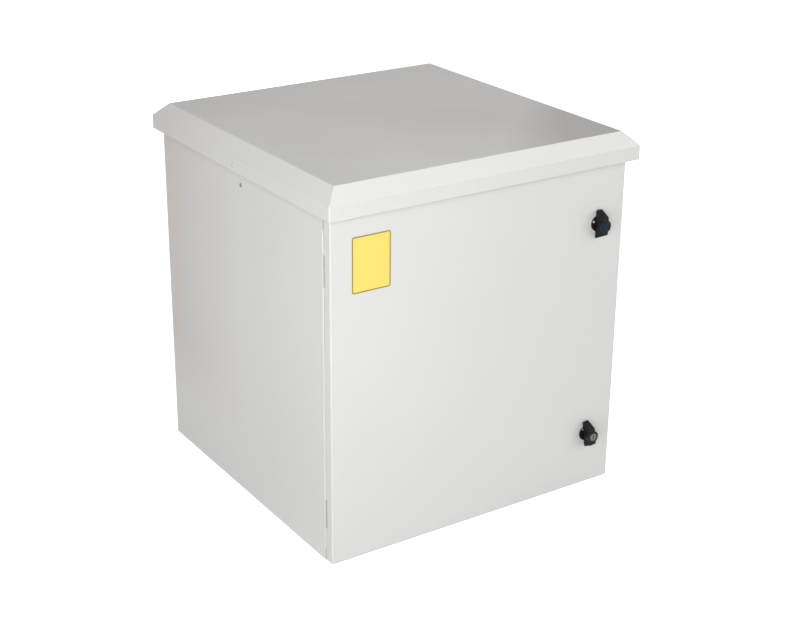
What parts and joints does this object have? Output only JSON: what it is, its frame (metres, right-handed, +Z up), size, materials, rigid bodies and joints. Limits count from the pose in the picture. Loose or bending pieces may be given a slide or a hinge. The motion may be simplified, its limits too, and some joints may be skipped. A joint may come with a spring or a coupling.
{
  "type": "outdoor wall-mounted cabinet",
  "caption": "Sheet-steel outdoor wall cabinet with an overhanging chamfered roof hood, a left-hung gasketed door with wing-knob latches, and rack rails inside.",
  "frame": {"origin": "middle of the four wall holes, on the wall plane at the back of the wall bushes", "axes": "+Y points into the wall, +Z is up, +X is to the right seen from the front; the door faces -Y"},
  "size_m": [0.6308, 0.6382, 0.669],
  "materials": {
    "body_paint": "light grey fine-texture powder coat",
    "roof_paint": "light grey fine-texture powder coat",
    "door_paint": "light grey fine-texture powder coat",
    "galvanised_sheet": "galvanised, spangled",
    "zinc_fastener": "bright zinc plate",
    "grey_hinge": "dull zinc passivate",
    "black_latch": "satin black",
    "navy_cap": "satin dark blue",
    "bright_plug": "satin nickel",
    "black_seal": "soft foam, closed skin",
    "dark_plug": "moulded"
  },
  "bodies": {
    "cabinet": {"body_wrap": "body_paint", "floor_panel": "body_paint", "top_panel": "body_paint", "roof_hood": "roof_paint", "front_roof_bearer": "body_paint", "rear_roof_bearer": "body_paint", "left_roof_bracket": "body_paint", "right_roof_bracket": "body_paint", "roof_screws": "zinc_fastener", "side_plugs": "dark_plug", "wall_bushes": "zinc_fastener", "lower_left_rail_support": "galvanised_sheet", "upper_left_rail_support": "galvanised_sheet", "lower_right_rail_support": "galvanised_sheet", "upper_right_rail_support": "galvanised_sheet", "front_left_rack_rail": "galvanised_sheet", "rear_left_rack_rail": "galvanised_sheet", "front_right_rack_rail": "galvanised_sheet", "rear_right_rack_rail": "galvanised_sheet", "rail_bolts": "zinc_fastener", "rail_nuts": "zinc_fastener", "gland_gasket": "black_seal", "gland_plate": "galvanised_sheet", "gland_screws": "zinc_fastener", "body_earth_stud": "zinc_fastener", "body_earth_nut": "zinc_fastener", "upper_hinge_frame_leaf": "grey_hinge", "lower_hinge_frame_leaf": "grey_hinge", "upper_hinge_pin": "zinc_fastener", "lower_hinge_pin": "zinc_fastener"},
    "door": {"door_pan": "door_paint", "door_stiffener": "door_paint", "door_gasket": "black_seal", "door_earth_stud": "zinc_fastener", "door_earth_nut": "zinc_fastener", "upper_hinge_door_leaf": "grey_hinge", "lower_hinge_door_leaf": "grey_hinge", "upper_latch_housing": "black_latch", "lower_latch_housing": "black_latch", "upper_latch_nut": "zinc_fastener", "lower_latch_nut": "zinc_fastener"},
    "upper_knob": {"upper_wing_knob": "black_latch", "upper_knob_cap": "navy_cap", "upper_cam": "zinc_fastener", "upper_cam_bolt": "zinc_fastener"},
    "lower_knob": {"lower_wing_knob": "black_latch", "lower_cam": "zinc_fastener", "lower_cam_bolt": "zinc_fastener"},
    "key_plug": {"key_plug": "bright_plug"}
  },
  "joints": [
    {"name": "door_swing", "type": "hinge", "parent": "cabinet", "child": "door", "pos_m": [-0.298, -0.5956, 0], "axis": [0, 0, -1], "range_deg": [0, 115]},
    {"name": "upper_knob_turn", "type": "hinge", "parent": "door", "child": "upper_knob", "pos_m": [0.243, -0.614, 0.2005], "axis": [0, -1, 0], "range_deg": [0, 90]},
    {"name": "lower_knob_turn", "type": "hinge", "parent": "door", "child": "lower_knob", "pos_m": [0.243, -0.614, -0.2065], "axis": [0, -1, 0], "range_deg": [-8, 82]},
    {"name": "key_turn", "type": "hinge", "parent": "lower_knob", "child": "key_plug", "pos_m": [0.243, -0.632, -0.2065], "axis": [0, -1, 0], "range_deg": [0, 90]}
  ]
}
